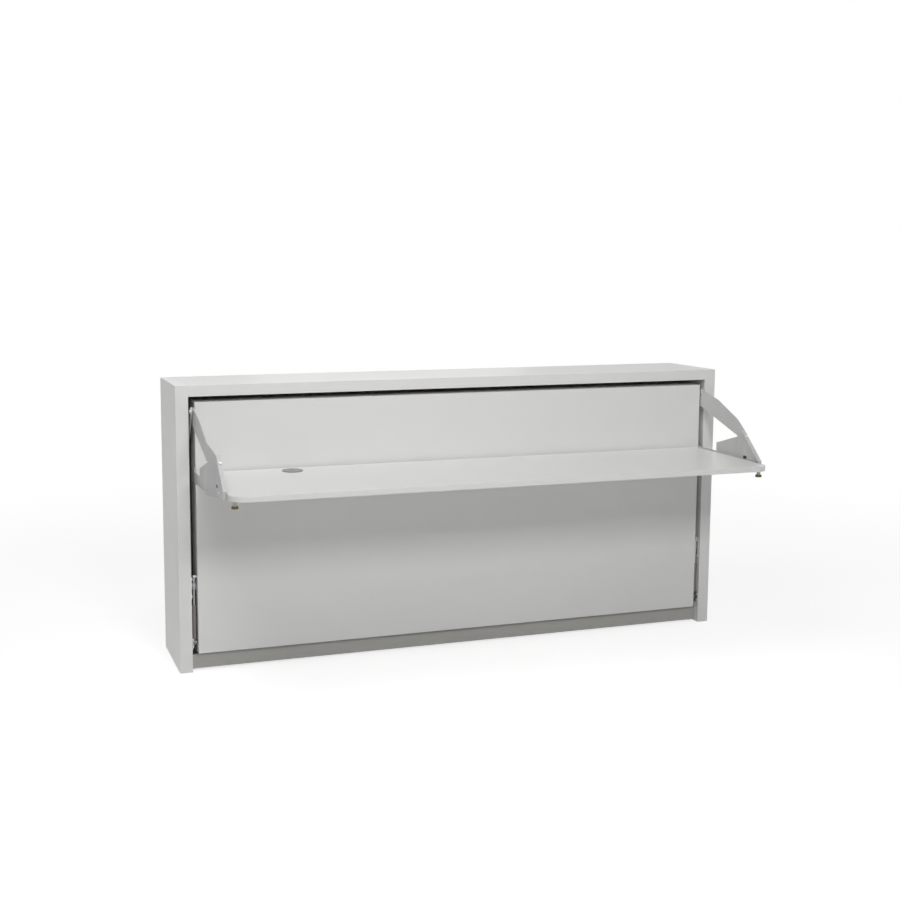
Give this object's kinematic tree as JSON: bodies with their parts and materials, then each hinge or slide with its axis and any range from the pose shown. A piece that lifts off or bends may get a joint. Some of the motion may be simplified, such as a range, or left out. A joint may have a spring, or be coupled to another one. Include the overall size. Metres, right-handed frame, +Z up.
{
  "type": "wall bed with fold down desk",
  "caption": "Horizontal wall bed in a low cabinet; a wide desk on steel brackets and link arms stays level as the bed folds down",
  "frame": {"origin": "On the floor, under the middle of the whole unit with the bed up: half way between the desk's front edge and the wall", "axes": "+X runs along the wall to the right as seen from the front, +Y goes from the desk's front edge towards the wall, +Z is up"},
  "size_m": [2.18, 0.875, 1.045],
  "materials": {
    "laminate": "white satin laminate on board",
    "kick_board": "light grey satin laminate on board",
    "grey_steel": "light grey powder coat",
    "bright_steel": "bright zinc",
    "dark_steel": "dark satin paint",
    "pine": "planed and unfinished",
    "beech": "sprung, clear satin",
    "black_plastic": "fine moulded texture",
    "nylon": "natural, moulded",
    "foot_plastic": "grey, moulded",
    "black_rubber": "matte",
    "foot_rubber": "matte olive brown",
    "ticking": "knitted white ticking",
    "webbing": "woven dark grey webbing",
    "grommet_grey": "satin grey, moulded"
  },
  "bodies": {
    "cabinet": {"side_left": "laminate", "side_right": "laminate", "top_panel": "laminate", "kick_rail": "kick_board", "wall_rail_upper": "laminate", "wall_rail_lower": "laminate", "back_panel": "laminate", "corner_brackets": "bright_steel", "levelling_feet": "foot_plastic", "bed_pivot_left": "bright_steel", "bed_pivot_right": "bright_steel", "link_pivot_left": "bright_steel", "link_pivot_right": "bright_steel", "spring_base_left": "bright_steel", "spring_base_right": "bright_steel", "stop_blocks": "nylon", "stop_pads": "black_rubber", "plate_screws": "bright_steel"},
    "bed": {"front_panel": "laminate", "bed_rail_lower": "laminate", "bed_rail_upper": "laminate", "bed_end_left": "laminate", "bed_end_right": "laminate", "slat_bearer_lower": "pine", "slat_bearer_upper": "pine", "panel_battens": "pine", "slats": "beech", "slat_caps": "black_plastic", "mattress": "ticking", "mattress_straps": "webbing", "strap_buckles": "black_plastic", "pivot_bushes": "nylon", "desk_arm_left": "grey_steel", "desk_arm_right": "grey_steel", "arm_screws": "bright_steel", "arm_bushes": "nylon", "spring_studs": "bright_steel"},
    "desk": {"desk_top": "laminate", "desk_bracket_left": "grey_steel", "desk_bracket_right": "grey_steel", "slot_plugs": "black_plastic", "bracket_bolts": "bright_steel", "flange_bolts": "bright_steel", "desk_pins": "bright_steel", "link_pins": "bright_steel", "desk_feet": "nylon", "foot_pads": "foot_rubber", "grommet_ring": "grommet_grey"},
    "cable_cap": {"grommet_cap": "grommet_grey"},
    "left_rod": {"control_rod_left": "grey_steel", "rod_bushes_left": "nylon"},
    "right_rod": {"control_rod_right": "grey_steel", "rod_bushes_right": "nylon"},
    "left_cylinder": {"spring_cylinder_left": "dark_steel"},
    "right_cylinder": {"spring_cylinder_right": "dark_steel"},
    "left_piston": {"spring_rod_left": "bright_steel", "spring_socket_left": "bright_steel"},
    "right_piston": {"spring_rod_right": "bright_steel", "spring_socket_right": "bright_steel"}
  },
  "joints": [
    {"name": "bed_tilt", "type": "hinge", "parent": "cabinet", "child": "bed", "pos_m": [0, 0.1375, 0.31], "axis": [1, 0, 0], "range_deg": [0, 90], "stiffness_Nm_per_rad": 60, "springref_deg": -57.3},
    {"name": "desk_level", "type": "hinge", "parent": "bed", "child": "desk", "pos_m": [0, -0.1445, 0.716], "axis": [1, 0, 0], "range_deg": [-90, 0]},
    {"name": "left_rod_swing", "type": "hinge", "parent": "cabinet", "child": "left_rod", "pos_m": [-1.034, 0.3765, 0.546], "axis": [1, 0, 0], "range_deg": [0, 90]},
    {"name": "right_rod_swing", "type": "hinge", "parent": "cabinet", "child": "right_rod", "pos_m": [1.034, 0.3765, 0.546], "axis": [1, 0, 0], "range_deg": [0, 90]},
    {"name": "left_spring_swing", "type": "hinge", "parent": "cabinet", "child": "left_cylinder", "pos_m": [-1.033, 0.1165, 0.107], "axis": [1, 0, 0], "range_deg": [0, 4.63]},
    {"name": "right_spring_swing", "type": "hinge", "parent": "cabinet", "child": "right_cylinder", "pos_m": [1.033, 0.1165, 0.107], "axis": [1, 0, 0], "range_deg": [0, 4.63]},
    {"name": "left_spring_slide", "type": "slide", "parent": "left_cylinder", "child": "left_piston", "axis": [0, -0.0408, 0.9992], "range_m": [-0.072, 0]},
    {"name": "right_spring_slide", "type": "slide", "parent": "right_cylinder", "child": "right_piston", "axis": [0, -0.0408, 0.9992], "range_m": [-0.072, 0]},
    {"name": "cap_turn", "type": "hinge", "parent": "desk", "child": "cable_cap", "pos_m": [-0.689, 0.0085, 0.738], "axis": [0, 0, 1], "continuous": true}
  ],
  "couplings": [
    {"joint": "desk_level", "follows": "bed_tilt", "ratio": -1},
    {"joint": "left_rod_swing", "follows": "bed_tilt", "ratio": 1},
    {"joint": "right_rod_swing", "follows": "bed_tilt", "ratio": 1},
    {"joint": "left_spring_swing", "follows": "bed_tilt", "ratio": 0.051374},
    {"joint": "right_spring_swing", "follows": "bed_tilt", "ratio": 0.051374},
    {"joint": "left_spring_slide", "follows": "bed_tilt", "m_per_rad": -0.04579},
    {"joint": "right_spring_slide", "follows": "bed_tilt", "m_per_rad": -0.04579}
  ]
}
